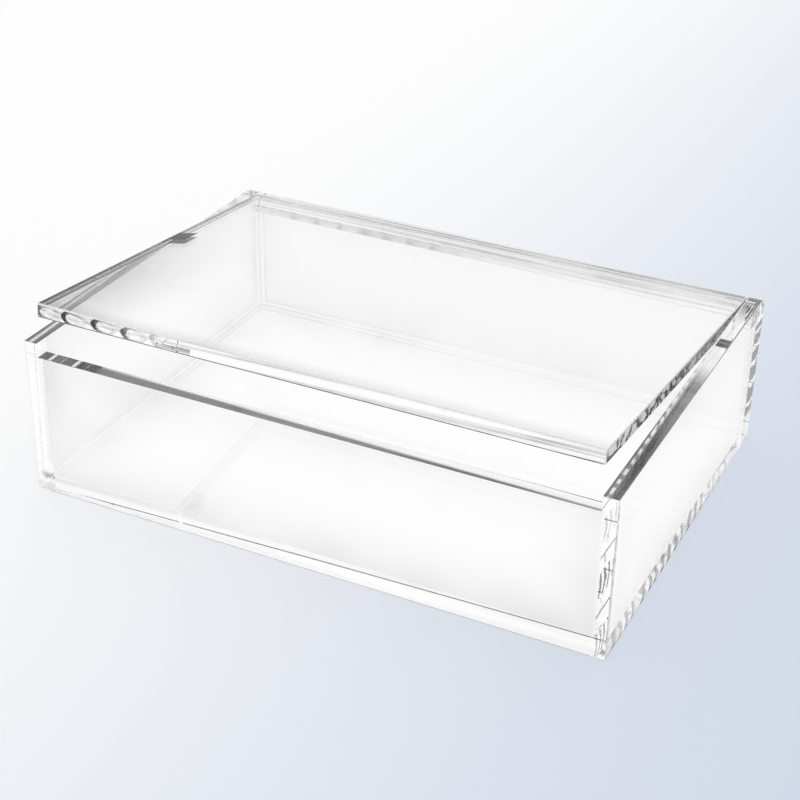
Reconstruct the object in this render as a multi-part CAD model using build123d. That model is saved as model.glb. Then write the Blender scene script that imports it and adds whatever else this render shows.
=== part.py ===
from build123d import *
import os

# Clear acrylic storage box with a lid that turns on two hidden pins.
# The origin is the middle of the underside. +X is right, -Y is the front and +Z is up.
# The lid stands a little open, as the box is at rest.

# The box
box_width = 250.0
box_depth = 178.0
box_height = 69.0
sheet = 6.0
edge_bevel = 0.4

# The lid, lying between the side walls
lid_angle = 5.8
lid_side_gap = 0.5
lid_seat_gap = 0.2
lid_front_inset = 0.5

# The square bar along the lid's rear edge, its back half rounded about the pins
hinge_bar = 12.0
bar_wall_gap = 0.4

# The hinge pins: fixed in blind holes in the side walls, running in the bar's ends
pin_diameter = 3.0
pin_bevel = 0.3
pin_skin = 2.5
pin_bond_gap = 0.02
pin_running_gap = 0.05
pin_bar_length = 8.5
pin_end_gap = 0.3

# How far every cutting solid runs past the face that it cuts
overrun = 1.0

# Places that several pieces share
half_width = box_width / 2
half_depth = box_depth / 2
inner_half_width = half_width - sheet
inner_half_depth = half_depth - sheet
lid_half_width = inner_half_width - lid_side_gap
lid_front_y = lid_front_inset - half_depth
lid_underside_z = box_height - sheet
bar_front_y = half_depth - hinge_bar
bar_radius = hinge_bar / 2
hinge_y = half_depth - bar_radius
hinge_z = box_height - bar_radius
front_wall_height = lid_underside_z - lid_seat_gap
back_wall_height = box_height - hinge_bar - bar_wall_gap
pin_radius = pin_diameter / 2
pin_wall_length = sheet - pin_skin
pin_length = pin_wall_length + lid_side_gap + pin_bar_length


def block(x_range, y_range, z_range):
    """A rectangular block between two planes along each axis."""
    sizes = [high - low for low, high in (x_range, y_range, z_range)]
    centre = [(low + high) / 2 for low, high in (x_range, y_range, z_range)]
    return Pos(*centre) * Box(*sizes)


def across(profile, x_low, x_high):
    """A profile drawn in Y and Z, extended along X from one plane to another."""
    return Pos(x_low, 0, 0) * extrude(Plane.YZ * profile, x_high - x_low)


def hinge_cylinder(radius, x_low, x_high):
    """A cylinder on the hinge line."""
    return across(Pos(hinge_y, hinge_z) * Circle(radius), x_low, x_high)


def opened(closed_piece):
    """Turns a piece of the closed lid up about the hinge line."""
    return closed_piece.rotate(Axis((0, hinge_y, hinge_z), (1, 0, 0)), -lid_angle)


def mirrored(piece):
    """The left-hand twin of a right-hand piece."""
    return mirror(piece, Plane.YZ)


def edges_at(piece, axis, place):
    """The edges that lie wholly in the plane at a place along an axis."""
    return piece.edges().filter_by_position(axis, place, place)


def floor_panel():
    """The bottom sheet, bonded between the four walls and flush with their lower edges."""
    return block((-inner_half_width, inner_half_width), (-inner_half_depth, inner_half_depth), (0, sheet))


def cross_wall(height):
    """A wall between the side walls, standing at the front, bevelled on its open edges."""
    wall = block((-inner_half_width, inner_half_width), (-half_depth, -inner_half_depth), (0, height))
    top_edges = edges_at(wall, Axis.Z, height).filter_by(Axis.X)
    foot_edge = edges_at(edges_at(wall, Axis.Z, 0), Axis.Y, -half_depth)
    return chamfer(top_edges + foot_edge, edge_bevel)


def front_panel():
    """The front wall, lower than the side walls so that the closed lid lies over it."""
    return cross_wall(front_wall_height)


def back_panel():
    """The back wall, lower still so that the lid's bar turns over it."""
    return mirror(cross_wall(back_wall_height), Plane.XZ)


def right_side_panel():
    """A side wall, its rear top corner rounded about the hinge line and drilled for the pin."""
    outline = Pos(0, box_height / 2) * Rectangle(box_depth, box_height)
    rear_top_corner = outline.vertices().sort_by(lambda corner: corner.X + corner.Y)[-1]
    wall = across(fillet(rear_top_corner, bar_radius), inner_half_width, half_width)
    wall = chamfer(edges_at(wall, Axis.X, half_width), edge_bevel)
    pin_hole = hinge_cylinder(
        pin_radius + pin_bond_gap, inner_half_width - overrun, inner_half_width + pin_wall_length
    )
    return wall - pin_hole


def lid_panel():
    """The lid's sheet, bonded to the front of the bar and bevelled on its open edges."""
    panel = block((-lid_half_width, lid_half_width), (lid_front_y, bar_front_y), (lid_underside_z, box_height))
    front_edges = edges_at(panel, Axis.Y, lid_front_y)
    side_edges = panel.edges().filter_by(Axis.Y)
    return opened(chamfer(front_edges + side_edges, edge_bevel))


def bar_bore():
    """The running bore in the bar's right-hand end, a little deeper than the pin reaches."""
    bore_end = lid_half_width - pin_bar_length - pin_end_gap
    return hinge_cylinder(pin_radius + pin_running_gap, bore_end, lid_half_width + overrun)


def hinge_bar_profile():
    """The bar's section: square in front, with a half-round back centred on the hinge line."""
    square_half = Pos(hinge_y - bar_radius / 2, hinge_z) * Rectangle(bar_radius, hinge_bar)
    return square_half + Pos(hinge_y, hinge_z) * Circle(bar_radius)


def lid_hinge_bar():
    """The bar that carries the lid, with its end rims and lower front edge bevelled."""
    bar = across(hinge_bar_profile(), -lid_half_width, lid_half_width)
    rims = [
        edge
        for end in (-lid_half_width, lid_half_width)
        for edge in edges_at(bar, Axis.X, end)
        if edge.center().Y > bar_front_y + bar_radius / 4
    ]
    lower_front_edge = edges_at(edges_at(bar, Axis.Y, bar_front_y), Axis.Z, hinge_z - bar_radius)
    bar = chamfer(rims + lower_front_edge, edge_bevel)
    return opened(bar - bar_bore() - mirrored(bar_bore()))


def right_hinge_pin():
    """A plain pin on the hinge line, with both ends bevelled."""
    pin_start = inner_half_width + pin_wall_length - pin_length
    pin = hinge_cylinder(pin_radius, pin_start, pin_start + pin_length)
    return chamfer(pin.edges().filter_by(GeomType.CIRCLE), pin_bevel)


pieces = {
    "floor_panel": floor_panel(),
    "front_panel": front_panel(),
    "back_panel": back_panel(),
    "right_side_panel": right_side_panel(),
    "left_side_panel": mirrored(right_side_panel()),
    "lid_panel": lid_panel(),
    "lid_hinge_bar": lid_hinge_bar(),
    "right_hinge_pin": right_hinge_pin(),
    "left_hinge_pin": mirrored(right_hinge_pin()),
}

os.makedirs("parts", exist_ok=True)
for name, piece in pieces.items():
    export_step(piece, f"parts/{name}.step")
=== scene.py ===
import math

import bmesh
import bpy
import numpy as np
from mathutils import Matrix, Vector


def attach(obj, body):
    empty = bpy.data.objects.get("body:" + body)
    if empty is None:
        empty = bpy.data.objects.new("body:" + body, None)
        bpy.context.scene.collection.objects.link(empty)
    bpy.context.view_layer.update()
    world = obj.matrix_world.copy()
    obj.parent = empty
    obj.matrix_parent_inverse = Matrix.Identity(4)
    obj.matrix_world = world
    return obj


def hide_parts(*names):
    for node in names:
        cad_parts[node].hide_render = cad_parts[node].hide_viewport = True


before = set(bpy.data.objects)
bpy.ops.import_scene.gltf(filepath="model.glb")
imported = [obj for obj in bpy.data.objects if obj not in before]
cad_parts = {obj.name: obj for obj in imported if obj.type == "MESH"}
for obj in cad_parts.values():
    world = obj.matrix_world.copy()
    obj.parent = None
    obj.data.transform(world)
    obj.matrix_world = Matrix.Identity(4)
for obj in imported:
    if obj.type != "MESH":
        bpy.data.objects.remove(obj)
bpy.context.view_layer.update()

# Clear acrylic storage box with a lid on hidden pins.
# All places and sizes are in metres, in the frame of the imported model:
# +X is right, -Y is the front, +Z is up, and the lid stands a little open.

MM = 0.001

# The sheets, as the part's source has them, with the rounding of their edges and the hair's breadth by which
# the floor stays clear of the walls that its cement has not wetted
SHEET = 6 * MM
HALF_WIDTH = 125 * MM
HALF_DEPTH = 89 * MM
HEIGHT = 69 * MM
INNER_HALF_WIDTH = HALF_WIDTH - SHEET
INNER_HALF_DEPTH = HALF_DEPTH - SHEET
ROUNDING = 0.3 * MM
SEAM_GAP = 0.03 * MM
FRONT_WALL_HEIGHT = 62.8 * MM
BACK_WALL_HEIGHT = 56.6 * MM

# The lid and its bar, before they are opened
LID_ANGLE = math.radians(5.8)
LID_HALF_WIDTH = 118.5 * MM
LID_FRONT_Y = -88.5 * MM
LID_ROUNDING = 0.6 * MM
LID_UNDERSIDE_Z = 63 * MM
BAR_FRONT_Y = 77 * MM
BAR_RADIUS = 6 * MM
BAR_UNDERSIDE_Z = HEIGHT - 2 * BAR_RADIUS
HINGE_Y = 83 * MM
HINGE_Z = 63 * MM

# The pins and the holes that take them
PIN_RADIUS = 1.5 * MM
PIN_HOLE_RADIUS = 1.52 * MM
PIN_HOLE_END = 122.5 * MM
BORE_RADIUS = 1.55 * MM
BORE_END = 109.7 * MM
PIN_START = 110 * MM
PIN_LENGTH = 12.5 * MM
PIN_BEVEL = 0.3 * MM

# Faces round a quarter turn of the bar and the side walls, round a hole or a pin, and over a rounded edge
QUARTER_STEPS = 32
HOLE_STEPS = 48
EDGE_STEPS = 6
# How many of a rounded edge's faces are dim, as painted shade, where the box has a dim edge
DIM_STEPS = 5

# Places in each sheet's list of materials
FACE, EDGE, BEVEL, DIM_BEVEL, JOINT, SAW_CUT_PAINTED_DARK, MARKED_JOINT, BAR = range(8)

# Colours
WHITE = (1, 1, 1, 1)
PALE_BLUE = (0.640, 0.700, 0.823, 1)
LINE_GREY = (0.35, 0.35, 0.36, 1)
STREAK_GREY = (0.25, 0.25, 0.26, 1)
MARK_GREY = (0.16, 0.16, 0.17, 1)
# The dark of the dim bevels: painted shade
BEVEL_PAINTED_SHADE = (0.06, 0.06, 0.065, 1)
# The blots' dark and light: the saw's marks, and the painted reflection of the saw-cut edge
BLOT_DARK = (0.02, 0.02, 0.022, 1)
BLOT_LIGHT = (0.9, 0.9, 0.91, 1)
CEMENT = (0.5, 0.5, 0.5, 1)
STEEL = (0.55, 0.55, 0.56, 1)
WORN_STEEL = (0.72, 0.72, 0.73, 1)

ACRYLIC_IOR = 1.49

# The values that nearly all of a noise lies between
NOISE_SPAN = (0.3, 0.7)

# How far to each side of a sheet's face the change from one finish to another is spread
NEAR = 0.1 * MM


# Node helpers

def node(tree, kind, **settings):
    """A new shader node with its settings."""
    made = tree.nodes.new(kind)
    for key, value in settings.items():
        setattr(made, key, value)
    return made


def feed(tree, socket, value):
    """Gives a socket a plain value, or the output of another node."""
    if isinstance(value, bpy.types.NodeSocket):
        tree.links.new(value, socket)
    else:
        socket.default_value = value


def fed_node(tree, kind, inputs, **settings):
    """A new shader node with its settings and its inputs, which go by name or by number."""
    made = node(tree, kind, **settings)
    for key, value in inputs.items():
        feed(tree, made.inputs[key], value)
    return made


def ranged(tree, value, low, high, out_low=0.0, out_high=1.0, easing="SMOOTHSTEP"):
    """A value taken from one number to another as it goes from low to high."""
    inputs = {"Value": value, "From Min": low, "From Max": high, "To Min": out_low, "To Max": out_high}
    return fed_node(tree, "ShaderNodeMapRange", inputs, interpolation_type=easing).outputs["Result"]


def math_node(tree, operation, first, second=0.0):
    """One sum of two values, each a number or an output."""
    return fed_node(tree, "ShaderNodeMath", {0: first, 1: second}, operation=operation).outputs[0]


def plus(tree, first, second):
    """Two values added."""
    return math_node(tree, "ADD", first, second)


def minus(tree, first, second):
    """The second value taken from the first."""
    return math_node(tree, "SUBTRACT", first, second)


def absolute(tree, value):
    """A value without its sign."""
    return math_node(tree, "ABSOLUTE", value)


def product(tree, first, *others):
    """Values multiplied together."""
    for other in others:
        first = math_node(tree, "MULTIPLY", first, other)
    return first


def gathered(tree, distance, reach, fall):
    """How much of a reach is left at a distance, as a share to the power of the fall."""
    return math_node(tree, "POWER", ranged(tree, distance, reach, 0.0, easing="LINEAR"), fall)


def band(tree, value, rise, fall):
    """1 between the span over which a value comes in and the span over which it goes out, else 0."""
    return product(tree, ranged(tree, value, *rise), ranged(tree, value, *fall, 1.0, 0.0))


def mixed_value(tree, share, first, second):
    """A value between two others, by a share."""
    return fed_node(tree, "ShaderNodeMix", {0: share, 2: first, 3: second}).outputs[0]


def mixed_colour(tree, share, first, second):
    """A colour between two others, by a share."""
    return fed_node(tree, "ShaderNodeMix", {0: share, 6: first, 7: second}, data_type="RGBA").outputs[2]


def noise(tree, place, scale=1.0, detail=2.0):
    """Soft noise at a place, with its scale per metre."""
    inputs = {"Vector": place, "Scale": scale, "Detail": detail}
    return fed_node(tree, "ShaderNodeTexNoise", inputs).outputs["Fac"]


def object_place(tree):
    """The place of each point of the surface."""
    return node(tree, "ShaderNodeTexCoord").outputs["Object"]


def mapped(tree, place, stretch=(1.0, 1.0, 1.0), turn=(0.0, 0.0, 0.0), shift=(0.0, 0.0, 0.0)):
    """A place stretched along each axis, then turned about the origin, then shifted."""
    inputs = {"Vector": place, "Scale": stretch, "Rotation": turn, "Location": shift}
    return fed_node(tree, "ShaderNodeMapping", inputs).outputs["Vector"]


def closed_place(tree):
    """The place that a point of the lid has when the lid is closed: turned back about the hinge line."""
    cos, sin = math.cos(LID_ANGLE), math.sin(LID_ANGLE)
    shift = (0, HINGE_Y * (1 - cos) + HINGE_Z * sin, HINGE_Z * (1 - cos) - HINGE_Y * sin)
    return mapped(tree, object_place(tree), turn=(LID_ANGLE, 0, 0), shift=shift)


def split_axes(tree, vector):
    """The three parts of a vector."""
    made = fed_node(tree, "ShaderNodeSeparateXYZ", {0: vector})
    return made.outputs["X"], made.outputs["Y"], made.outputs["Z"]


def split_normal(tree):
    """The three parts of the surface's normal."""
    return split_axes(tree, node(tree, "ShaderNodeNewGeometry").outputs["Normal"])


def grey(tree, brightness):
    """A grey of a brightness."""
    return fed_node(tree, "ShaderNodeCombineColor", dict.fromkeys(range(3), brightness)).outputs[0]


def ramp(tree, value, stops):
    """A brightness that follows a value through rising stops, each (place in millimetres, brightness)."""
    first, *between, last = [(place * MM, brightness) for place, brightness in stops]
    low, high = first[0], last[0]
    share = ranged(tree, value, low, high, easing="LINEAR")
    made = fed_node(tree, "ShaderNodeValToRGB", {0: share})
    elements = made.color_ramp.elements
    for index, (place, brightness) in enumerate((first, last, *between)):
        position = (place - low) / (high - low)
        element = elements[index] if index < 2 else elements.new(position)
        element.position = position
        element.color = (brightness, brightness, brightness, 1)
    return made.outputs["Color"]


def new_group(name, inputs, outputs):
    """An empty node group. Inputs have defaults, and the output named Colour is a colour."""
    tree = bpy.data.node_groups.new(name, "ShaderNodeTree")
    for title, default in inputs.items():
        kind = "NodeSocketColor" if isinstance(default, tuple) else "NodeSocketFloat"
        tree.interface.new_socket(title, in_out="INPUT", socket_type=kind).default_value = default
    for title in outputs:
        kind = "NodeSocketColor" if title == "Colour" else "NodeSocketFloat"
        tree.interface.new_socket(title, in_out="OUTPUT", socket_type=kind)
    return tree, node(tree, "NodeGroupInput").outputs, node(tree, "NodeGroupOutput").inputs


def placed_group(tree, group, **values):
    """A group placed in a material with its own values, whose names have _ for a space."""
    inputs = {name.replace("_", " "): value for name, value in values.items()}
    return fed_node(tree, "ShaderNodeGroup", inputs, node_tree=group).outputs


# Finishes

# The painted shade by a border, and its soft dark line of painted shade by the cement: how far each reaches,
# and how steeply it falls
SHADE_REACH, SHADE_FALL = 30 * MM, 1.6
LINE_REACH, LINE_FALL = 5 * MM, 8.0
# The spans in Y over which the line comes in towards the rear, and in X over which it goes out to the right
LINE_IN_Y, LINE_OUT_X = (-30 * MM, 50 * MM), (-90 * MM, 20 * MM)
# How thin the clouds in the painted shade get, and the smears: how they are drawn out and turned, and their
# depth
CLOUD_LOW = 0.5
SMEAR_STRETCH, SMEAR_TURN, SMEAR_DEPTH = (30.0, 30.0, 220.0), (0.3, 0.5, 0.2), 0.02
# How much light a clear face lets through at most, and the painted shade that the rear and left walls take
# from it all over
CLEAREST = 0.995
REAR_WALL_DIM, LEFT_WALL_DIM = 0.05, 0.03


def make_sheet_shade():
    """Painted shade: the faint grey that darkens a clear sheet towards its cemented borders; and its
    wiped-dry smears.

    The nearness to a border is the least distance inwards from the walls' inner faces, the floor's top and
    the box's rim. A face's own axis is left out of it, because its normal puts that distance a metre off.
    Close to the cement of the rear left corner the painted shade also gathers into a soft line. The rear and
    left walls are painted a little darker all over, as painted shade.
    """
    tree, given, out = new_group("sheet_painted_shade", {"Depth": 0.1, "Line Depth": 0.25}, ["Colour"])
    place = object_place(tree)
    x, y, z = split_axes(tree, place)
    facing_x, facing_y, facing_z = (absolute(tree, part) for part in split_normal(tree))
    from_sides = plus(tree, minus(tree, INNER_HALF_WIDTH, absolute(tree, x)), facing_x)
    from_cross_walls = plus(tree, minus(tree, INNER_HALF_DEPTH, absolute(tree, y)), facing_y)
    from_floor = plus(tree, minus(tree, z, SHEET), facing_z)
    from_rim = plus(tree, minus(tree, HEIGHT, z), facing_z)
    to_cement = math_node(tree, "MINIMUM", from_sides, from_cross_walls)
    to_cement = math_node(tree, "MINIMUM", to_cement, from_floor)
    to_border = math_node(tree, "MINIMUM", to_cement, from_rim)
    inside = math_node(tree, "GREATER_THAN", to_border, 0.0)

    cloud = ranged(tree, noise(tree, place, scale=26.0), 0.35, 0.7, CLOUD_LOW, 1.0)
    # Painted shade that gathers towards the borders and into the corners
    border_shade = product(tree, gathered(tree, to_border, SHADE_REACH, SHADE_FALL), given["Depth"])
    line = product(tree, gathered(tree, to_cement, LINE_REACH, LINE_FALL), given["Line Depth"])
    line = product(tree, line, ranged(tree, y, *LINE_IN_Y), ranged(tree, x, *LINE_OUT_X, 1.0, 0.0))
    dim = product(tree, plus(tree, border_shade, line), cloud)
    smear = noise(tree, mapped(tree, place, SMEAR_STRETCH, SMEAR_TURN), detail=4.0)
    dim = plus(tree, dim, ranged(tree, smear, 0.6, 0.75, 0.0, SMEAR_DEPTH))
    # Painted shade: the rear and left walls a little darker all over
    on_rear_wall = ranged(tree, y, INNER_HALF_DEPTH - MM, INNER_HALF_DEPTH - NEAR, 0.0, REAR_WALL_DIM)
    on_left_wall = ranged(tree, x, NEAR - INNER_HALF_WIDTH, MM - INNER_HALF_WIDTH, LEFT_WALL_DIM, 0.0)
    dim = plus(tree, dim, math_node(tree, "MAXIMUM", on_rear_wall, on_left_wall))
    feed(tree, out["Colour"], grey(tree, minus(tree, CLEAREST, product(tree, dim, inside))))
    return tree


# How dim the strip of painted reflection along the lid's left edge is, by place along it, and how wide its
# soft rim is
LID_STRIP = [(-90, 0.999), (-70, 0.99), (-45, 0.95), (-10, 0.85), (30, 0.7), (90, 0.6)]
STRIP_RIM = 0.5 * MM
# The dark patch of painted reflection: the spans in Y of its front and rear borders at the lid's left edge,
# how far back they slant for each metre to the right, the span of its right border from the left edge, and
# how dark it is
PATCH_FRONT, PATCH_REAR = (1.5 * MM, 2.2 * MM), (12 * MM, 13 * MM)
PATCH_SLANT = 0.6
PATCH_RIGHT = (7 * MM, 8 * MM)
PATCH_DEPTH = 0.999
# The painted shade along the front edge: its span from the edge, and its depth
FRONT_SHADE, FRONT_SHADE_DEPTH = (2 * MM, 10 * MM), 0.2
# The painted shade towards the left: its reach, its fall, and the span in Y over which it thins to a share of
# itself
LEFT_SHADE_REACH, LEFT_SHADE_FALL = 45 * MM, 1.4
LEFT_SHADE_THINS, LEFT_SHADE_REAR_SHARE = (-60 * MM, 40 * MM), 0.15
# How much light the lid's faces let through at most
LID_CLEAREST = 0.985


def make_lid_shade():
    """The lid's painted reflection and painted shade, in the places of the closed lid.

    A dim strip of painted reflection runs along its left edge, where the edge mirrors down into the box, and
    grows paler towards the rear. Halfway along it lies a dark slanted patch of painted reflection. A soft
    grey of painted shade gathers along the front edge and to the left.
    """
    tree, given, out = new_group("lid_shade", {"Strip Width": 1.9 * MM, "Depth": 0.2}, ["Colour"])
    x, y, _ = split_axes(tree, closed_place(tree))
    from_left = plus(tree, x, LID_HALF_WIDTH)
    from_front = minus(tree, y, LID_FRONT_Y)
    in_strip = ranged(tree, minus(tree, from_left, given["Strip Width"]), 0.0, STRIP_RIM, 1.0, 0.0)
    strip = product(tree, in_strip, ramp(tree, y, LID_STRIP))
    slanted = minus(tree, y, product(tree, from_left, PATCH_SLANT))
    patch = band(tree, slanted, PATCH_FRONT, PATCH_REAR)
    patch = product(tree, patch, ranged(tree, from_left, *PATCH_RIGHT, PATCH_DEPTH, 0.0))
    by_front = product(tree, ranged(tree, from_front, *FRONT_SHADE, 1.0, 0.0), FRONT_SHADE_DEPTH)
    by_left = product(
        tree,
        gathered(tree, from_left, LEFT_SHADE_REACH, LEFT_SHADE_FALL),
        ranged(tree, y, *LEFT_SHADE_THINS, 1.0, LEFT_SHADE_REAR_SHARE),
        given["Depth"],
    )
    shade = minus(tree, LID_CLEAREST, plus(tree, by_front, by_left))
    shade = product(tree, shade, minus(tree, 1.0, patch), minus(tree, 1.0, strip))
    feed(tree, out["Colour"], grey(tree, shade))
    return tree


# The rings of painted reflection: how far before the lid's corner they begin, how flat a ring is along the
# edge and up it, the spans of its inner and outer rim, how far it wanders, and the span over which the rings
# go out
RINGS_BEGIN = 2.2 * MM
RING_ALONG, RING_UP = 2.7, 2.3
RING_INNER, RING_OUTER, RING_WANDER = (0.66, 0.78), (1.15, 1.3), 0.12
RINGS_GO_OUT = (38 * MM, 72 * MM)


def make_painted_reflection_rings():
    """Painted reflection near the left end of the lid's front edge: dark rings for images mirrored inside the
    lid.

    Each ring is an oval, darkest on its left. The rings stand a pitch apart and fade along the edge.
    """
    tree, given, out = new_group("painted_reflection_rings", {"Pitch": 13.5 * MM, "Depth": 0.9}, ["Colour"])
    place = closed_place(tree)
    x, _, z = split_axes(tree, place)
    from_left = plus(tree, x, LID_HALF_WIDTH)
    turns = math_node(tree, "DIVIDE", plus(tree, from_left, RINGS_BEGIN), given["Pitch"])
    aside = minus(tree, math_node(tree, "FRACT", turns), 0.5)
    up = math_node(tree, "DIVIDE", minus(tree, z, LID_UNDERSIDE_Z + SHEET / 2), SHEET)
    sides = {"X": product(tree, aside, RING_ALONG), "Y": product(tree, up, RING_UP)}
    from_middle = fed_node(tree, "ShaderNodeCombineXYZ", sides).outputs[0]
    distance = fed_node(tree, "ShaderNodeVectorMath", {0: from_middle}, operation="LENGTH").outputs["Value"]
    wander = ranged(tree, noise(tree, place, scale=160.0), *NOISE_SPAN, -RING_WANDER, RING_WANDER)
    ring = band(tree, plus(tree, distance, wander), RING_INNER, RING_OUTER)
    darker_left = ranged(tree, aside, -0.35, 0.4, 1.0, 0.25)
    ring = product(tree, ring, darker_left, ranged(tree, from_left, *RINGS_GO_OUT, 1.0, 0.0))
    feed(tree, out["Colour"], grey(tree, minus(tree, 1.0, product(tree, ring, given["Depth"]))))
    return tree


# How plain the saw's marks are: on the floor's right end by place along it, and on a wall's end once they
# have come in over a span of its height
FLOOR_END_MARKS = [(-83, 0.3), (-60, 0.4), (-35, 0.6), (15, 0.6), (35, 0.3), (83, 0.1)]
WALL_END_MARKS, WALL_MARKS_COME_IN = 0.85, (8 * MM, 14 * MM)
# How much a mark leans on a wall's end and on the floor's, and how far it wanders
WALL_LEAN, FLOOR_LEAN, MARK_WANDER = 0.25, 0.4, 2.5 * MM
# How much of the pitch a mark takes on the floor's end, and how much its soft rim takes
FLOOR_SHARE, MARK_RIM = 0.5, 0.08


def make_saw_marks():
    """The dark marks of the saw on a cemented end, where the cement has not wetted it, a pitch apart.

    On a wall's end they follow each other up its height, with thin clear lines between them. On the floor's
    end they follow each other along its depth and are shorter. Share is the part of the pitch that a mark
    takes on a wall's end.
    """
    tree, given, out = new_group("saw_marks", {"Pitch": 8.2 * MM, "Share": 0.8}, ["Colour", "Mask"])
    place = object_place(tree)
    _, y, z = split_axes(tree, place)
    on_wall = ranged(tree, absolute(tree, y), INNER_HALF_DEPTH - NEAR, INNER_HALF_DEPTH + NEAR)
    wander = product(tree, ranged(tree, noise(tree, place, scale=70.0), *NOISE_SPAN, -1.0, 1.0), MARK_WANDER)
    up = plus(tree, plus(tree, z, product(tree, y, WALL_LEAN)), wander)
    back = plus(tree, plus(tree, y, product(tree, z, FLOOR_LEAN)), wander)
    along = mixed_value(tree, on_wall, back, up)
    share = mixed_value(tree, on_wall, FLOOR_SHARE, given["Share"])
    by_height = ranged(tree, z, *WALL_MARKS_COME_IN, 0.0, WALL_END_MARKS)
    amount = mixed_value(tree, on_wall, ramp(tree, y, FLOOR_END_MARKS), by_height)
    turns = math_node(tree, "DIVIDE", along, given["Pitch"])
    aside = absolute(tree, minus(tree, math_node(tree, "FRACT", turns), 0.5))
    mark = ranged(tree, minus(tree, product(tree, share, 0.5), aside), 0.0, MARK_RIM)
    mottle = ranged(tree, noise(tree, place, scale=420.0, detail=3.0), 0.4, 0.65)
    feed(tree, out["Colour"], mixed_colour(tree, mottle, BLOT_DARK, MARK_GREY))
    feed(tree, out["Mask"], product(tree, mark, amount))
    return tree


# The scale per metre of a scraper's lines, across them and along them, and how rough they are
LINES_ACROSS, LINES_ALONG = 1400.0, 14.0
LINES_ROUGHNESS = 0.06


def make_scraper_lines():
    """The fine lines that a scraper leaves along an edge that faces up: noise drawn out along the edge."""
    tree, given, out = new_group("scraper_lines", {"Amount": 0.5}, ["Colour", "Roughness", "Height"])
    place = object_place(tree)
    facing_up = split_normal(tree)[2]
    along_y = noise(tree, mapped(tree, place, (LINES_ACROSS, LINES_ALONG, LINES_ACROSS)), detail=3.0)
    along_x = noise(tree, mapped(tree, place, (LINES_ALONG, LINES_ACROSS, LINES_ACROSS)), detail=3.0)
    from_middle = absolute(tree, split_axes(tree, place)[0])
    on_side_wall = ranged(tree, from_middle, INNER_HALF_WIDTH - NEAR, INNER_HALF_WIDTH + NEAR)
    lines = ranged(tree, mixed_value(tree, on_side_wall, along_x, along_y), 0.4, 0.65)
    lines = product(tree, lines, ranged(tree, facing_up, 0.5, 0.9))
    amount = product(tree, lines, given["Amount"])
    feed(tree, out["Colour"], mixed_colour(tree, amount, WHITE, LINE_GREY))
    feed(tree, out["Roughness"], product(tree, amount, LINES_ROUGHNESS))
    feed(tree, out["Height"], lines)
    return tree


# The saw-cut edge, painted dark as painted reflection: how far its blots wander, the span of their rims, the
# span in Y over which the painted dark deepens towards the rear and how light it is there, and its roughness
# at the least and at the most
BLOT_WANDER, BLOT_RIM = 0.12, (0.06, 0.2)
BLOTS_PAINTED_DARKER, REAR_LIGHT = (-60 * MM, 75 * MM), 0.1
SAW_ROUGHNESS = (0.12, 0.35)


def make_saw_mottle_painted_dark():
    """The blots of an edge left as the saw cut it: the borders between cells, drawn out along the edge.

    The blots are darkest between the cells, and grow darker towards the rear. Their dark colour and this
    darkening are painted reflection, standing in for the dark surroundings that the edge mirrors.
    """
    inputs = {"Light": BLOT_LIGHT, "Dark": BLOT_DARK, "Cell Length": 9 * MM}
    tree, given, out = new_group("saw_mottle_painted_dark", inputs, ["Colour", "Roughness", "Height"])
    place = object_place(tree)
    _, along, up = split_axes(tree, mapped(tree, place, turn=(LID_ANGLE, 0.0, 0.0)))
    parts = {"Y": math_node(tree, "DIVIDE", along, given["Cell Length"]), "Z": product(tree, up, 1 / SHEET)}
    cell = fed_node(tree, "ShaderNodeCombineXYZ", parts).outputs[0]
    borders = fed_node(
        tree, "ShaderNodeTexVoronoi", {"Vector": cell, "Scale": 1.0},
        feature="DISTANCE_TO_EDGE", voronoi_dimensions="3D",
    )
    grain = noise(tree, place, scale=300.0, detail=3.0)
    wander = ranged(tree, grain, *NOISE_SPAN, -BLOT_WANDER, BLOT_WANDER)
    depth = plus(tree, borders.outputs["Distance"], wander)
    light = product(tree, ranged(tree, depth, *BLOT_RIM), ranged(tree, along, *BLOTS_PAINTED_DARKER, 1.0, REAR_LIGHT))
    feed(tree, out["Colour"], mixed_colour(tree, light, given["Dark"], given["Light"]))
    feed(tree, out["Roughness"], ranged(tree, grain, *NOISE_SPAN, *SAW_ROUGHNESS))
    feed(tree, out["Height"], light)
    return tree


# A pin: the scale per metre of its rings along it and round it, its roughness at the least and at the most,
# and the span from the box's middle over which the worn band ends
RINGS_ALONG, RINGS_ROUND = 9000.0, 40.0
TURNED_ROUGHNESS = (0.22, 0.38)
WORN_END = (117 * MM, LID_HALF_WIDTH)


def make_turning_rings():
    """The fine rings of a pin turned on a lathe, and the worn band where the bar runs on it."""
    inputs = {"Steel": STEEL, "Worn": WORN_STEEL}
    tree, given, out = new_group("turning_rings", inputs, ["Colour", "Roughness", "Height"])
    place = object_place(tree)
    rings = noise(tree, mapped(tree, place, (RINGS_ALONG, RINGS_ROUND, RINGS_ROUND)))
    from_middle = absolute(tree, split_axes(tree, place)[0])
    worn = ranged(tree, from_middle, *WORN_END, 1.0, 0.0)
    feed(tree, out["Colour"], mixed_colour(tree, worn, given["Steel"], given["Worn"]))
    feed(tree, out["Roughness"], minus(tree, ranged(tree, rings, *NOISE_SPAN, *TURNED_ROUGHNESS), worn))
    feed(tree, out["Height"], rings)
    return tree


SHEET_SHADE = make_sheet_shade()
SAW_MARKS = make_saw_marks()
LID_SHADE = make_lid_shade()
PAINTED_REFLECTION_RINGS = make_painted_reflection_rings()
SCRAPER_LINES = make_scraper_lines()
SAW_MOTTLE_PAINTED_DARK = make_saw_mottle_painted_dark()
TURNING_RINGS = make_turning_rings()


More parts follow.
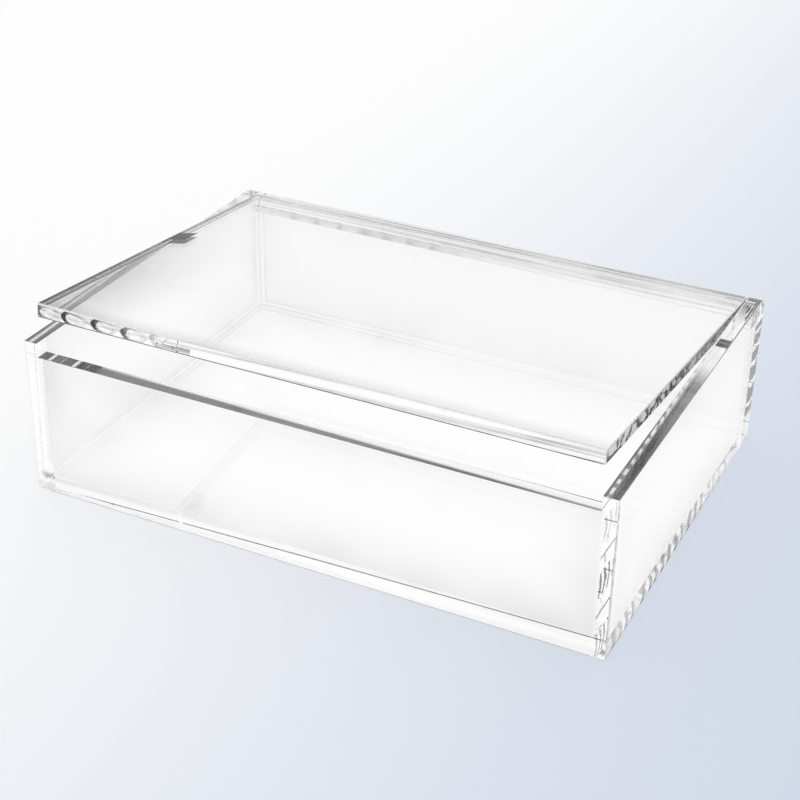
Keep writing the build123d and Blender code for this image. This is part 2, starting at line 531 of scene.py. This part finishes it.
def new_material(name):
    """An empty node material with its Principled shader."""
    material = bpy.data.materials.new(name)
    material.use_nodes = True
    return material, material.node_tree, material.node_tree.nodes["Principled BSDF"]


def acrylic(name, clear=1.0):
    """The shader of cast acrylic, clear, or partly a dim satin."""
    material, tree, shader = new_material(name)
    shader.inputs["IOR"].default_value = ACRYLIC_IOR
    shader.inputs["Transmission Weight"].default_value = clear
    shader.inputs["Roughness"].default_value = 0.0
    return material, tree, shader


def feed_surface(tree, shader, made, distance, strength):
    """Feeds a shader's colour, roughness and normal from a placed group, whose height makes a bump."""
    feed(tree, shader.inputs["Base Color"], made["Colour"])
    feed(tree, shader.inputs["Roughness"], made["Roughness"])
    inputs = {"Height": made["Height"], "Distance": distance, "Strength": strength}
    feed(tree, shader.inputs["Normal"], fed_node(tree, "ShaderNodeBump", inputs).outputs["Normal"])


def clear_finish(name, group, **values):
    """Clear acrylic with the colour that a group gives it."""
    material, tree, shader = acrylic(name)
    feed(tree, shader.inputs["Base Color"], placed_group(tree, group, **values)["Colour"])
    return material


def scraped_finish(name, amount):
    """A scraped and polished edge: clear, with fine lines along it."""
    material, tree, shader = acrylic(name)
    lines = placed_group(tree, SCRAPER_LINES, Amount=amount)
    feed_surface(tree, shader, lines, distance=0.01 * MM, strength=0.3)
    return material


# The scale per metre of the bar's streaks, along them and across them, and how rough they are
STREAKS_ALONG, STREAKS_ACROSS = 4.0, 520.0
STREAKS_ROUGHNESS = 0.03


def bar_finish(name):
    """The bar, scraped from end to end: clear, with fine grey lines along it."""
    material, tree, shader = acrylic(name)
    place = object_place(tree)
    lines = noise(tree, mapped(tree, place, (STREAKS_ALONG, STREAKS_ACROSS, STREAKS_ACROSS)), detail=3.0)
    broken = ranged(tree, noise(tree, place, scale=30.0), 0.35, 0.65, 0.6, 1.0)
    streak = product(tree, ranged(tree, lines, 0.46, 0.62), broken)
    feed(tree, shader.inputs["Base Color"], mixed_colour(tree, streak, WHITE, STREAK_GREY))
    feed(tree, shader.inputs["Roughness"], product(tree, streak, STREAKS_ROUGHNESS))
    return material


def dim_bevel_finish(name, clear):
    """A bevel left from the saw, which shows as a thin dim line. Its dark colour is painted shade, standing
    in for the dark surroundings that a frosted edge scatters.
    """
    material, tree, shader = acrylic(name, clear)
    # Patches between the painted shade and a lighter grey
    worn = ranged(tree, noise(tree, object_place(tree), scale=120.0, detail=3.0), 0.45, 0.7)
    feed(tree, shader.inputs["Base Color"], mixed_colour(tree, worn, BEVEL_PAINTED_SHADE, STREAK_GREY))
    feed(tree, shader.inputs["Roughness"], ranged(tree, worn, 0.0, 1.0, 0.08, 0.2))
    return material


def saw_cut_painted_dark_finish(name, clear):
    """An edge left as the saw cut it, letting little light through, and painted dark as painted reflection of
    the dark surroundings that the edge mirrors.
    """
    material, tree, shader = acrylic(name, clear)
    feed_surface(tree, shader, placed_group(tree, SAW_MOTTLE_PAINTED_DARK), distance=0.05 * MM, strength=0.4)
    return material


def cemented_finish(name):
    """The cemented face between two sheets: light passes straight through, apart from a rare tiny bubble."""
    material, tree, shader = new_material(name)
    shader.inputs["Base Color"].default_value = CEMENT
    bubbles = fed_node(tree, "ShaderNodeTexVoronoi", {"Vector": object_place(tree), "Scale": 90.0})
    feed(tree, shader.inputs["Alpha"], ranged(tree, bubbles.outputs["Distance"], 0.02, 0.035, 0.6, 0.0))
    return material


def marked_joint_finish(name):
    """A cemented end that still shows the marks of the saw: light passes straight through between them."""
    material, tree, shader = new_material(name)
    marks = placed_group(tree, SAW_MARKS)
    shader.inputs["Specular IOR Level"].default_value = 0.05
    feed(tree, shader.inputs["Base Color"], marks["Colour"])
    feed(tree, shader.inputs["Alpha"], marks["Mask"])
    return material


def pin_finish(name):
    """Turned steel."""
    material, tree, shader = new_material(name)
    shader.inputs["Metallic"].default_value = 1.0
    feed_surface(tree, shader, placed_group(tree, TURNING_RINGS), distance=0.01 * MM, strength=0.3)
    return material


SHEET_MATERIALS = [
    clear_finish("sheet_face", SHEET_SHADE, Depth=0.12, Line_Depth=0.35),
    scraped_finish("scraped_edge", amount=0.4),
    scraped_finish("polished_bevel", amount=0.1),
    dim_bevel_finish("dim_bevel", clear=0.35),
    cemented_finish("cemented_joint"),
    saw_cut_painted_dark_finish("saw_cut_edge_painted_dark", clear=0.15),
    marked_joint_finish("marked_joint"),
    bar_finish("scraped_bar"),
]
LID_MATERIALS = [
    clear_finish("lid_face", LID_SHADE, Depth=0.42),
    clear_finish("lid_front_edge", PAINTED_REFLECTION_RINGS, Depth=0.999),
    *SHEET_MATERIALS[2:],
]
PIN_MATERIALS = [pin_finish("turned_steel")]


# Shapes

def mesh_piece(name, corners, faces, marks, materials):
    """A piece from corners, faces as lists of corner numbers, and one material place for each face."""
    mesh = bpy.data.meshes.new(name)
    mesh.from_pydata(corners.tolist(), [], faces)
    mesh.polygons.foreach_set("material_index", np.array(marks, dtype=np.int32))
    for material in materials:
        mesh.materials.append(material)
    piece = bpy.data.objects.new(name, mesh)
    bpy.context.scene.collection.objects.link(piece)
    return piece


def finish_mesh(piece, merge=0.001 * MM, smooth_below=20, flat_weight=100):
    """Merges doubled corners, points the faces outwards, and shades round forms smooth.

    Where a round form runs into a flat face, the corners there take the flat face's normal.
    """
    shape = bmesh.new()
    shape.from_mesh(piece.data)
    bmesh.ops.remove_doubles(shape, verts=shape.verts, dist=merge)
    bmesh.ops.dissolve_degenerate(shape, edges=shape.edges, dist=merge)
    bmesh.ops.recalc_face_normals(shape, faces=shape.faces)
    shape.to_mesh(piece.data)
    shape.free()
    piece.data.shade_smooth()
    piece.data.set_sharp_from_angle(angle=math.radians(smooth_below))
    weighted = piece.modifiers.new("flat_faces_lead", "WEIGHTED_NORMAL")
    weighted.keep_sharp = True
    weighted.weight = flat_weight


def arc(centre, radius, start, end, steps):
    """Points on a circle: centre + radius (cos a, sin a), for a from start to end degrees in equal steps."""
    angle = np.radians(np.linspace(start, end, steps + 1))
    return np.stack([centre[0] + radius * np.cos(angle), centre[1] + radius * np.sin(angle)], axis=1)


def skin(rows, columns):
    """The faces between neighbouring stations: quads on a grid of station by profile point, closed round."""
    i, j = np.meshgrid(np.arange(rows - 1), np.arange(columns), indexing="ij")
    after = (j + 1) % columns
    here, beyond = i * columns, (i + 1) * columns
    quads = np.stack([here + j, here + after, beyond + after, beyond + j], -1)
    return quads.reshape(-1, 4)


def carried_profile(name, places, profiles, side_marks, end_faces, extra=None, turned=False, materials=None):
    """A profile in Y and Z carried along X.

    Corner (i, j) is the point (places[i], profiles[i][j]). The skin joins corner (i, j) to its neighbours
    (i + 1, j) and (i, j + 1), and side_marks[i][j] is that face's material place. end_faces lists the faces
    of the two ends as loops of points in Y and Z, and extra holds further patches, such as a bore's wall.
    A turned piece is drawn as part of the closed lid and is opened with it.
    """
    places = np.asarray(places)
    profiles = np.asarray(profiles)
    rows, columns = profiles.shape[:2]
    grid = np.empty((rows, columns, 3))
    grid[:, :, 0] = places[:, None]
    grid[:, :, 1:] = profiles
    corners = [grid.reshape(-1, 3)]
    faces = skin(rows, columns).tolist()
    marks = np.broadcast_to(side_marks, (rows - 1, columns)).ravel().tolist()
    count = rows * columns
    for x, loop, mark in end_faces:
        loop = np.asarray(loop)
        corners.append(np.column_stack([np.full(len(loop), x), loop]))
        faces.append(list(range(count, count + len(loop))))
        marks.append(mark)
        count += len(loop)
    for patch_corners, patch_faces, mark in extra or []:
        corners.append(patch_corners)
        faces += (np.asarray(patch_faces) + count).tolist()
        marks += [mark] * len(patch_faces)
        count += len(patch_corners)
    corners = np.concatenate(corners)
    if turned:
        corners = opened(corners)
    piece = mesh_piece(name, corners, faces, marks, materials or SHEET_MATERIALS)
    finish_mesh(piece)
    return piece


def rounding_steps(radius):
    """How far a rounded end falls back, and how far it is drawn in, from its rim to its flat face.

    At angle a the fall is radius (1 - sin a) and the draw is radius (1 - cos a), for a from 0 to 90 degrees.
    """
    angle = np.linspace(0, np.pi / 2, EDGE_STEPS + 1)
    return radius * (1 - np.sin(angle)), radius * (1 - np.cos(angle))


def round_corner(y, z, toward_y, toward_z, radius, inset, start):
    """A rounded corner of an outline, whose sharp corner is at y, z, drawn in by the inset.

    The arc's centre stays a radius inside the corner, and the arc runs a quarter turn from the start angle.
    """
    centre = (y + toward_y * radius, z + toward_z * radius)
    return arc(centre, radius - inset, start, start + 90, EDGE_STEPS)


def opened(points):
    """Points of the closed lid turned up about the hinge line by the lid's angle."""
    y = points[:, 1] - HINGE_Y
    z = points[:, 2] - HINGE_Z
    cos, sin = math.cos(LID_ANGLE), math.sin(LID_ANGLE)
    return np.stack([points[:, 0], HINGE_Y + y * cos + z * sin, HINGE_Z - y * sin + z * cos], axis=1)


def blind_hole(radius, mouth_x, end_x):
    """A blind hole on the hinge line: a circle carried from its mouth to its flat end."""
    ring = arc((HINGE_Y, HINGE_Z), radius, 0, 360, HOLE_STEPS)[:-1]
    rows = [np.column_stack([np.full(HOLE_STEPS, x), ring]) for x in (mouth_x, end_x)]
    faces = skin(2, HOLE_STEPS).tolist()
    return [
        (np.concatenate(rows), faces, EDGE),
        (rows[1], [list(range(HOLE_STEPS))], EDGE),
    ]


def box_profile(y_low, y_high, z_low, z_high):
    """A rectangle in Y and Z, anticlockwise from its low corner."""
    return [(y_low, z_low), (y_high, z_low), (y_high, z_high), (y_low, z_high)]


def make_floor():
    """The bottom sheet: a rectangle carried across.

    The cement has not crept in at its left and rear edges, which stay a hair clear of the walls and mirror.
    """
    left, rear = SEAM_GAP - INNER_HALF_WIDTH, INNER_HALF_DEPTH - SEAM_GAP
    profile = box_profile(-INNER_HALF_DEPTH, rear, 0, SHEET)
    ends = [(left, profile, EDGE), (INNER_HALF_WIDTH, profile, MARKED_JOINT)]
    marks = [FACE, EDGE, FACE, JOINT]
    return carried_profile("floor_sheet", [left, INNER_HALF_WIDTH], [profile] * 2, marks, ends)


# Plain corners of the outlines: along a side wall's foot, up its back, and up a cross wall's joint
FOOT_CORNERS, BACK_CORNERS, JOINT_CORNERS = 4, 1, 2


def cross_wall_profile(height):
    """The front wall's section, anticlockwise from its foot, with its three edges rounded."""
    outer, inner, radius = -HALF_DEPTH, -INNER_HALF_DEPTH, ROUNDING
    return np.array([
        (inner, 0),
        (inner, SHEET),
        *round_corner(inner, height, -1, -1, radius, 0, 0),
        *round_corner(outer, height, 1, -1, radius, 0, 90),
        *round_corner(outer, 0, 1, 1, radius, 0, 180),
    ])


def make_cross_wall(name, height, facing, floor_joint):
    """The front wall, or for facing -1 the back wall, which is its mirror image."""
    profile = cross_wall_profile(height) * (facing, 1)
    right_end = JOINT if facing > 0 else MARKED_JOINT
    ends = [(-INNER_HALF_WIDTH, profile, JOINT), (INNER_HALF_WIDTH, profile, right_end)]
    round_top = [BEVEL] * EDGE_STEPS
    # Painted shade: the foot's rounding is dim
    foot = [DIM_BEVEL] * DIM_STEPS + [BEVEL] * (EDGE_STEPS - DIM_STEPS)
    marks = [floor_joint, FACE, *round_top, EDGE, *round_top, FACE, *foot, EDGE]
    return carried_profile(name, [-INNER_HALF_WIDTH, INNER_HALF_WIDTH], [profile] * 2, marks, ends)


def side_wall_outline(inset):
    """A side wall's outline, anticlockwise from the front foot, drawn in by the inset.

    It has a corner wherever a patch of the inner face meets it.
    """
    front, rear, radius = -HALF_DEPTH + inset, HALF_DEPTH - inset, ROUNDING
    foot_places = (ROUNDING - HALF_DEPTH, -INNER_HALF_DEPTH, INNER_HALF_DEPTH, HALF_DEPTH - ROUNDING)
    foot = [(y, inset) for y in foot_places]
    foot_rear = round_corner(HALF_DEPTH, 0, -1, 1, radius, inset, -90)[1:]
    back = [(rear, BACK_WALL_HEIGHT - ROUNDING)]
    top_rear = arc((HINGE_Y, HINGE_Z), BAR_RADIUS - inset, 0, 90, QUARTER_STEPS)
    top_front = round_corner(-HALF_DEPTH, HEIGHT, 1, -1, radius, inset, 90)
    face = [(front, z) for z in (HINGE_Z, FRONT_WALL_HEIGHT - ROUNDING)]
    foot_front = round_corner(-HALF_DEPTH, 0, 1, 1, radius, inset, 180)[:-1]
    return np.array([*foot, *foot_rear, *back, *top_rear, *top_front, *face, *foot_front])


def make_side_wall(name, side):
    """A side wall: its outline carried outwards to a face with a rounded rim.

    Its inner face is laid out as patches, so that the floor and the two cross walls are cemented to it
    exactly over the ends that they turn to it, and the pin's hole opens in it.
    """
    inner = side * INNER_HALF_WIDTH
    joint = JOINT if side < 0 else MARKED_JOINT
    falls, draws = rounding_steps(ROUNDING)
    outlines = [side_wall_outline(draw) for draw in draws]
    places = [inner, *(side * (HALF_WIDTH - falls))]
    profiles = [outlines[0], *outlines]
    marks = np.full((len(places) - 1, len(outlines[0])), BEVEL)
    on_foot = outlines[0][:, 1] < ROUNDING
    at_front = outlines[0][:, 0] < ROUNDING - HALF_DEPTH
    # Painted shade: dim faces on the left wall's front rim and on the right wall's foot
    marks[-DIM_STEPS:, at_front if side < 0 else on_foot] = DIM_BEVEL
    marks[0] = EDGE
    front_end = cross_wall_profile(FRONT_WALL_HEIGHT)
    back_end = cross_wall_profile(BACK_WALL_HEIGHT) * (-1, 1)
    floor_end = box_profile(-INNER_HALF_DEPTH, INNER_HALF_DEPTH, 0, SHEET)
    # The inner face in two patches, above and below the level of the hinge, with half of the hole in each
    hole = arc((HINGE_Y, HINGE_Z), PIN_HOLE_RADIUS, 0, 360, HOLE_STEPS)
    half = HOLE_STEPS // 2
    full = outlines[0]
    rear_start = FOOT_CORNERS + EDGE_STEPS + BACK_CORNERS
    front_start = rear_start + QUARTER_STEPS + 1
    rear_arc = full[rear_start:front_start]
    front_arc = full[front_start:front_start + EDGE_STEPS + 1]
    upper = [*hole[half::-1], *rear_arc, *front_arc, (-HALF_DEPTH, HINGE_Z)]
    top_start = JOINT_CORNERS
    top_end = top_start + 2 * (EDGE_STEPS + 1)
    top_of_back = back_end[top_start:top_end]
    top_of_front = front_end[top_start:top_end][::-1]
    lower = [
        (-INNER_HALF_DEPTH, SHEET),
        (INNER_HALF_DEPTH, SHEET),
        *top_of_back,
        (HALF_DEPTH, HINGE_Z),
        *hole[::-1][:half + 1],
        (-HALF_DEPTH, HINGE_Z),
        *top_of_front,
    ]
    ends = [
        (side * HALF_WIDTH, outlines[-1], FACE),
        (inner, front_end, JOINT),
        (inner, back_end, joint),
        (inner, floor_end, EDGE if side < 0 else joint),
        (inner, upper, FACE),
        (inner, lower, FACE),
    ]
    pocket = blind_hole(PIN_HOLE_RADIUS, inner, side * PIN_HOLE_END)
    return carried_profile(name, places, profiles, marks, ends, pocket)


def lid_outline(inset):
    """The lid sheet's section, anticlockwise from its lower rear corner, with its front edges rounded."""
    low, high, radius = LID_UNDERSIDE_Z, HEIGHT, LID_ROUNDING
    return np.array([
        (BAR_FRONT_Y, low + inset),
        (BAR_FRONT_Y, high - inset),
        *round_corner(LID_FRONT_Y, high, 1, -1, radius, inset, 90),
        *round_corner(LID_FRONT_Y, low, 1, 1, radius, inset, 180),
    ])


def make_lid_sheet():
    """The lid's sheet: its section carried across, drawn in at both ends for the rounded rims."""
    falls, draws = rounding_steps(LID_ROUNDING)
    rims = LID_HALF_WIDTH - falls
    places = [*(-rims[::-1]), *rims]
    profiles = [lid_outline(draw) for draw in [*draws[::-1], *draws]]
    marks = np.full((len(places) - 1, len(profiles[0])), BEVEL)
    # Painted shade: the lid's lower front rounding is dim
    marks[EDGE_STEPS] = [JOINT, FACE, *([BEVEL] * EDGE_STEPS), EDGE, *([DIM_BEVEL] * EDGE_STEPS), FACE]
    marks[:, 0] = JOINT
    ends = [(-LID_HALF_WIDTH, profiles[0], BEVEL), (LID_HALF_WIDTH, profiles[0], SAW_CUT_PAINTED_DARK)]
    return carried_profile("lid_sheet", places, profiles, marks, ends, turned=True, materials=LID_MATERIALS)


def bar_outline(inset):
    """The bar's section, anticlockwise from its foot, with its ends' rims drawn in by the inset."""
    back = arc((HINGE_Y, HINGE_Z), BAR_RADIUS - inset, -90, 90, 2 * QUARTER_STEPS)
    foot = round_corner(BAR_FRONT_Y, BAR_UNDERSIDE_Z, 1, 1, LID_ROUNDING, inset, 180)
    return np.array([
        *back,
        (BAR_FRONT_Y, HEIGHT - inset),
        (BAR_FRONT_Y, LID_UNDERSIDE_Z + inset),
        *foot,
    ])


def make_lid_bar():
    """The bar along the lid's rear edge: square in front, half-round behind, bored at both ends."""
    falls, draws = rounding_steps(LID_ROUNDING)
    rims = LID_HALF_WIDTH - falls
    places = [*(-rims[::-1]), *rims]
    profiles = [bar_outline(draw) for draw in [*draws[::-1], *draws]]
    drawn_in = profiles[0]
    marks = np.full((len(places) - 1, len(drawn_in)), BEVEL)
    marks[EDGE_STEPS] = BAR
    joint_place = 2 * QUARTER_STEPS + 1
    marks[:, joint_place] = JOINT
    hole = arc((HINGE_Y, HINGE_Z), BORE_RADIUS, 0, 360, HOLE_STEPS)
    half = HOLE_STEPS // 2
    middle = QUARTER_STEPS
    upper = [*drawn_in[middle:joint_place + 2], *hole[half::-1]]
    lower = [*drawn_in[joint_place + 1:], *drawn_in[:middle + 1], *hole[::-1][:half + 1]]
    finishes = ((-1, EDGE), (1, SAW_CUT_PAINTED_DARK))
    ends = [(side * LID_HALF_WIDTH, loop, finish) for side, finish in finishes for loop in (upper, lower)]
    bores = [
        *blind_hole(BORE_RADIUS, -LID_HALF_WIDTH, -BORE_END),
        *blind_hole(BORE_RADIUS, LID_HALF_WIDTH, BORE_END),
    ]
    return carried_profile("lid_bar", places, profiles, marks, ends, bores, turned=True)


def make_pin(name, side):
    """A pin: a circle carried along X, drawn in at both ends for the bevels."""
    along = np.array([0, 0, PIN_BEVEL, PIN_LENGTH - PIN_BEVEL, PIN_LENGTH, PIN_LENGTH])
    end_radius = PIN_RADIUS - PIN_BEVEL
    radius = np.array([0, end_radius, PIN_RADIUS, PIN_RADIUS, end_radius, 0])
    angle = np.linspace(0, 2 * np.pi, HOLE_STEPS, endpoint=False)
    grid = np.empty((len(along), HOLE_STEPS, 3))
    grid[:, :, 0] = side * (PIN_START + along[:, None])
    grid[:, :, 1] = HINGE_Y + radius[:, None] * np.cos(angle)
    grid[:, :, 2] = HINGE_Z + radius[:, None] * np.sin(angle)
    faces = skin(len(along), HOLE_STEPS).tolist()
    piece = mesh_piece(name, grid.reshape(-1, 3), faces, [0] * len(faces), PIN_MATERIALS)
    finish_mesh(piece)
    return piece


BOX_SHEETS = {
    "floor_panel": make_floor(),
    "front_panel": make_cross_wall("front_sheet", FRONT_WALL_HEIGHT, 1, JOINT),
    "back_panel": make_cross_wall("back_sheet", BACK_WALL_HEIGHT, -1, EDGE),
    "left_side_panel": make_side_wall("left_side_sheet", -1),
    "right_side_panel": make_side_wall("right_side_sheet", 1),
}
LID_SHEETS = {"lid_panel": make_lid_sheet(), "lid_hinge_bar": make_lid_bar()}
PINS = {"left_hinge_pin": make_pin("left_pin", -1), "right_hinge_pin": make_pin("right_pin", 1)}

for pieces, body, slot in (
    (BOX_SHEETS, "box", "clear_sheet"),
    (LID_SHEETS, "lid", "clear_sheet"),
    (PINS, "box", "pin_steel"),
):
    for solid, piece in pieces.items():
        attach(piece, body)
        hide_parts(solid)


# The stage

# The floor: the span in X over which it turns from white to pale blue, how much of it glows to the camera,
# how far it reaches, and how far it lies below the box
FLOOR_FADE = (-0.236, 0.289)
FLOOR_GLOW = 0.8
FLOOR_REACH, FLOOR_DROP = 6.0, 0.3 * MM

# The painted contact shadow under the walls' feet, which only the glass sees, where it is seen down through
# them:
# the spans past the walls' inner faces over which it begins and ends, and half of how much further out it
# lies on the left
SHADOW_BEGINS, SHADOW_ENDS = (-1 * MM, 0.5 * MM), (6 * MM, 7 * MM)
LEFT_SHIFT = 0.45 * MM
# The painted shadow's brightness by place along each wall
UNDER_LEFT_WALL = [
    (-90, 0.04), (-45, 0.04), (-20, 0.08), (10, 0.20), (45, 0.50), (57, 0.60), (74, 0.90), (90, 0.90),
]
UNDER_RIGHT_WALL = [
    (-90, 0.04), (-45, 0.04), (-38, 0.10), (-20, 0.04), (0, 0.04), (20, 0.14), (30, 0.11), (38, 0.24),
    (45, 0.15), (52, 0.30), (60, 0.65), (68, 1.00), (85, 1.00), (85.5, 0.00), (89, 0.00), (90, 0.60),
]
UNDER_FRONT_WALL = [
    (-140, 0.06), (-110, 0.15), (-60, 0.15), (-30, 0.18), (10, 0.15), (30, 0.10), (60, 0.05), (100, 0.14),
    (120, 0.17),
]
UNDER_REAR_WALL = (0.9, 0.9, 0.9, 1)

# Dim cards round the box, which the glass alone mirrors: azimuth from the front towards the right, height,
# the half angle of the card, the half angle at which its soft rim ends, and how much light it takes away
DIM_CARDS = [
    (0, -62, 22, 32, 0.80),
    (26, 30, 12, 26, 0.40),
    (320, 8, 12, 25, 0.80),
    (290, 70, 15, 35, 0.75),
    (200, -72, 8, 20, 0.35),
]

# What the studio sheds on plain surfaces, and what the camera sees of it
STUDIO_LIGHT = (0.85, 0.85, 0.85, 1)
BACKDROP = (0.88, 0.90, 0.95, 1)

# The photograph's camera: azimuth from the front towards the right, elevation and roll in degrees, its place,
# and its focal length and sensor in millimetres
CAMERA_TURN = (25.94, 29.84, 0.902)
CAMERA_PLACE = (0.27435, -0.56865, 0.39214)
CAMERA_LENS, CAMERA_SENSOR = 77.99, 36
NEAREST_SEEN = 0.01

# How often a ray may go on through the sheets
BOUNCES = 64


def seen_in_glass(tree):
    """Two outputs of 1 or 0: is a ray one that comes off or through the glass, and is it the camera's own."""
    path = node(tree, "ShaderNodeLightPath").outputs
    in_glass = math_node(tree, "MAXIMUM", path["Is Glossy Ray"], path["Is Transmission Ray"])
    return in_glass, path["Is Camera Ray"]


def glow(tree, colour):
    """An even glow of a colour."""
    return fed_node(tree, "ShaderNodeEmission", {"Color": colour}).outputs[0]


def mixed_shader(tree, share, first, second):
    """A shader between two others, by a share."""
    return fed_node(tree, "ShaderNodeMixShader", {0: share, 1: first, 2: second}).outputs[0]


def floor_material():
    """A pale floor that fades from white to pale blue.

    Rays from the glass see through it to the studio, apart from a painted contact shadow under the walls'
    feet.
    """
    material = bpy.data.materials.new("pale_floor")
    material.use_nodes = True
    tree = material.node_tree
    tree.nodes.clear()
    x, y, _ = split_axes(tree, object_place(tree))
    in_glass, camera_ray = seen_in_glass(tree)
    seen = mixed_colour(tree, ranged(tree, x, *FLOOR_FADE), WHITE, PALE_BLUE)
    plain = fed_node(tree, "ShaderNodeBsdfDiffuse", {"Color": seen}).outputs[0]
    lit = mixed_shader(tree, product(tree, camera_ray, FLOOR_GLOW), plain, glow(tree, seen))

    # The painted contact shadow under the walls' feet, which glows dim to the glass alone
    off_middle = absolute(tree, plus(tree, x, LEFT_SHIFT))
    beyond_x = minus(tree, off_middle, INNER_HALF_WIDTH + LEFT_SHIFT)
    beyond_y = minus(tree, absolute(tree, y), INNER_HALF_DEPTH)
    beyond = math_node(tree, "MAXIMUM", beyond_x, beyond_y)
    in_contact_shadow = band(tree, beyond, SHADOW_BEGINS, SHADOW_ENDS)
    at_right = ranged(tree, x, INNER_HALF_WIDTH - MM, LID_HALF_WIDTH)
    left, right = ramp(tree, y, UNDER_LEFT_WALL), ramp(tree, y, UNDER_RIGHT_WALL)
    under_sides = mixed_colour(tree, at_right, left, right)
    at_rear = ranged(tree, y, 0, MM)
    under_cross_walls = mixed_colour(tree, at_rear, ramp(tree, x, UNDER_FRONT_WALL), UNDER_REAR_WALL)
    contact_shadow = mixed_colour(tree, ranged(tree, beyond_x, -NEAR, NEAR), under_cross_walls, under_sides)
    clear = node(tree, "ShaderNodeBsdfTransparent").outputs[0]
    through = mixed_shader(tree, in_contact_shadow, clear, glow(tree, contact_shadow))

    surface = mixed_shader(tree, in_glass, lit, through)
    feed(tree, node(tree, "ShaderNodeOutputMaterial").inputs["Surface"], surface)
    material.cycles.emission_sampling = "NONE"
    return material


def make_floor_plane():
    """A wide plane just under the box."""
    signs = ((-1, -1), (1, -1), (1, 1), (-1, 1))
    corners = np.array([(x * FLOOR_REACH, y * FLOOR_REACH, -FLOOR_DROP) for x, y in signs])
    return mesh_piece("studio_floor", corners, [[0, 1, 2, 3]], [0], [floor_material()])


make_floor_plane()


def direction_to(azimuth, elevation):
    """The direction at an azimuth from the front towards the right, and at an elevation."""
    level = math.cos(elevation)
    return Vector((math.sin(azimuth) * level, -math.cos(azimuth) * level, math.sin(elevation)))


def make_world():
    """A soft white studio with dim cards in it that only the glass mirrors."""
    world = bpy.data.worlds.new("studio")
    bpy.context.scene.world = world
    world.use_nodes = True
    tree = world.node_tree
    tree.nodes.clear()
    direction = node(tree, "ShaderNodeTexCoord").outputs["Generated"]
    level = 1.0
    for *angles, taken in DIM_CARDS:
        azimuth, height, inner, outer = (math.radians(angle) for angle in angles)
        sides = {0: direction, 1: direction_to(azimuth, height)}
        nearness = fed_node(tree, "ShaderNodeVectorMath", sides, operation="DOT_PRODUCT").outputs["Value"]
        card = ranged(tree, nearness, math.cos(outer), math.cos(inner), 1.0, 1.0 - taken)
        level = product(tree, card, level)
    in_glass, camera_ray = seen_in_glass(tree)
    colour = mixed_colour(tree, in_glass, STUDIO_LIGHT, grey(tree, level))
    colour = mixed_colour(tree, camera_ray, colour, BACKDROP)
    background = fed_node(tree, "ShaderNodeBackground", {"Color": colour}).outputs[0]
    feed(tree, node(tree, "ShaderNodeOutputWorld").inputs["Surface"], background)


make_world()


def soft_lamp(name, place, target, size, power):
    """A square soft lamp turned to a target."""
    lamp = bpy.data.lights.new(name, "AREA")
    lamp.size = size
    lamp.energy = power
    lamp_object = bpy.data.objects.new(name, lamp)
    bpy.context.scene.collection.objects.link(lamp_object)
    lamp_object.location = place
    lamp_object.rotation_euler = (Vector(target) - Vector(place)).to_track_quat("-Z", "Y").to_euler()


soft_lamp("overhead_lamp", place=(-0.3, 0.4, 1.6), target=(0, 0, 0), size=1.2, power=1.8)


def make_camera():
    """The photograph's camera: its place, and its turn from azimuth, elevation and roll."""
    azimuth, elevation, roll = (math.radians(angle) for angle in CAMERA_TURN)
    back = direction_to(azimuth, elevation)
    right = Vector((math.cos(azimuth), math.sin(azimuth), 0))
    up = back.cross(right)
    turned_right = math.cos(roll) * right + math.sin(roll) * up
    turned_up = math.cos(roll) * up - math.sin(roll) * right
    camera = bpy.data.cameras.new("camera")
    camera.sensor_width = CAMERA_SENSOR
    camera.lens = CAMERA_LENS
    camera.clip_start = NEAREST_SEEN
    camera_object = bpy.data.objects.new("camera", camera)
    bpy.context.scene.collection.objects.link(camera_object)
    turn = Matrix((turned_right, turned_up, back)).transposed().to_4x4()
    camera_object.matrix_world = Matrix.Translation(CAMERA_PLACE) @ turn
    bpy.context.scene.camera = camera_object


make_camera()

scene = bpy.context.scene
scene.view_settings.view_transform = "Standard"
for limit in ("max_bounces", "glossy_bounces", "transmission_bounces", "transparent_max_bounces"):
    setattr(scene.cycles, limit, BOUNCES)
